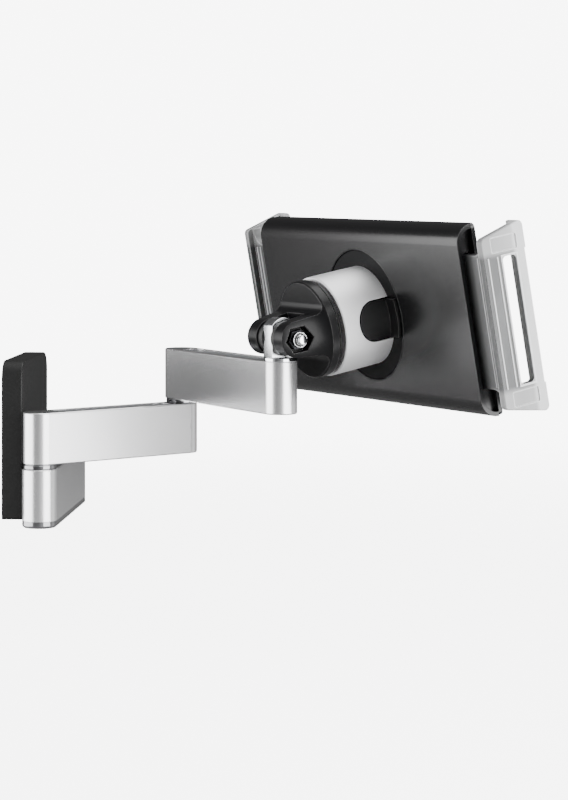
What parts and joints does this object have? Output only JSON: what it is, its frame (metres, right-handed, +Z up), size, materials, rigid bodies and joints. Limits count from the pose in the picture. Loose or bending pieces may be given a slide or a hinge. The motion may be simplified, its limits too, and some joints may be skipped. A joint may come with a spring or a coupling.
{
  "type": "tablet wall mount",
  "caption": "Wall mount for a tablet: wall plate, folding arms, tilting head with a turning ring, and a flat holder whose grips slide apart together.",
  "frame": {"origin": "middle of the wall plate's back face, on the wall", "axes": "+X along the wall to the right seen from the front, +Y into the wall, +Z up; the mount reaches out towards -Y"},
  "size_m": [0.1621, 0.2191, 0.1257],
  "materials": {
    "steel": "satin zinc-plated steel",
    "black_moulding": "fine matt black",
    "satin_aluminium": "bead-blasted and clear anodised",
    "bright_aluminium": "polished",
    "chrome": "bright chrome",
    "bearing": "acetal",
    "grey_strip": "soft grey",
    "black_satin": "satin black",
    "black_lacquer": "satin black lacquer",
    "frosted": "frosted, slightly translucent",
    "pad": "soft black",
    "friction": "fibre washer",
    "spring": "spring wire"
  },
  "bodies": {
    "base": {"wall_plate": "steel", "carrier_plate": "steel", "block_screws": "steel", "wall_cover": "black_moulding", "locking_screw": "steel", "wall_block": "satin_aluminium", "block_end_cap": "bright_aluminium", "cap_screw": "steel", "wall_pivot_bush": "bearing", "wall_washer": "chrome"},
    "first_arm": {"arm_1": "satin_aluminium", "arm_1_strip": "grey_strip", "wall_pivot_pin": "steel", "wall_pivot_screw": "steel", "elbow_bush": "bearing", "elbow_washer": "chrome"},
    "second_arm": {"arm_2": "satin_aluminium", "arm_2_strip": "grey_strip", "elbow_pin": "steel", "elbow_screw": "steel", "head_bush": "bearing"},
    "swivel": {"head_tongue": "chrome", "head_pivot_screw": "steel"},
    "head": {"clevis_head": "black_lacquer", "friction_washers": "friction", "tilt_bolt": "steel", "tilt_nut": "chrome", "groove_ring": "black_lacquer", "ring_spindle": "steel", "spindle_screw": "steel"},
    "holder": {"ring_sleeve": "satin_aluminium", "port_ring": "black_satin", "port_screws": "steel", "near_button_spring": "spring", "far_button_spring": "spring", "holder_shell": "black_satin", "holder_cover": "black_satin", "holder_screws": "steel", "seat_pads": "pad"},
    "near_release": {"near_button": "black_moulding"},
    "far_release": {"far_button": "black_moulding"},
    "near_clamp": {"near_grip": "frosted"},
    "far_clamp": {"far_grip": "frosted"},
    "gear": {"pinion": "bearing"}
  },
  "joints": [
    {"name": "wall_swivel", "type": "hinge", "parent": "base", "child": "first_arm", "pos_m": [-0.0322, -0.01555, -0.0092], "axis": [0, 0, 1], "range_deg": [-133.4, 46.6]},
    {"name": "elbow", "type": "hinge", "parent": "first_arm", "child": "second_arm", "pos_m": [0.01699, -0.06757, 0.0136], "axis": [0, 0, -1], "range_deg": [-100, 60]},
    {"name": "head_pan", "type": "hinge", "parent": "second_arm", "child": "swivel", "pos_m": [-0.05339, -0.11451, 0.0345], "axis": [0, 0, 1], "range_deg": [-150, 8]},
    {"name": "head_tilt", "type": "hinge", "parent": "swivel", "child": "head", "pos_m": [-0.05339, -0.11451, 0.0435], "axis": [-0.8192, -0.5736, 0], "range_deg": [-14, 35]},
    {"name": "ring_turn", "type": "hinge", "parent": "head", "child": "holder", "pos_m": [-0.05344, -0.11444, 0.04399], "axis": [0.564, -0.8054, 0.1822], "continuous": true},
    {"name": "near_press", "type": "slide", "parent": "holder", "child": "near_release", "axis": [0.8192, 0.5736, 0], "range_m": [0, 0.0015], "stiffness_N_per_m": 800, "deforming": ["near_button_spring"]},
    {"name": "far_press", "type": "slide", "parent": "holder", "child": "far_release", "axis": [-0.8192, -0.5736, 0], "range_m": [0, 0.0015], "stiffness_N_per_m": 800, "deforming": ["far_button_spring"]},
    {"name": "near_slide", "type": "slide", "parent": "holder", "child": "near_clamp", "axis": [-0.8192, -0.5736, 0], "range_m": [-0.008, 0.014]},
    {"name": "far_slide", "type": "slide", "parent": "holder", "child": "far_clamp", "axis": [0.8192, 0.5736, 0], "range_m": [-0.008, 0.014]},
    {"name": "pinion_spin", "type": "hinge", "parent": "holder", "child": "gear", "pos_m": [-0.02778, -0.15108, 0.05228], "axis": [0.564, -0.8054, 0.1822], "range_deg": [-57.5, 100.5]}
  ],
  "couplings": [
    {"joint": "far_slide", "follows": "near_slide", "ratio": 1},
    {"joint": "pinion_spin", "follows": "near_slide", "rad_per_m": 125}
  ]
}
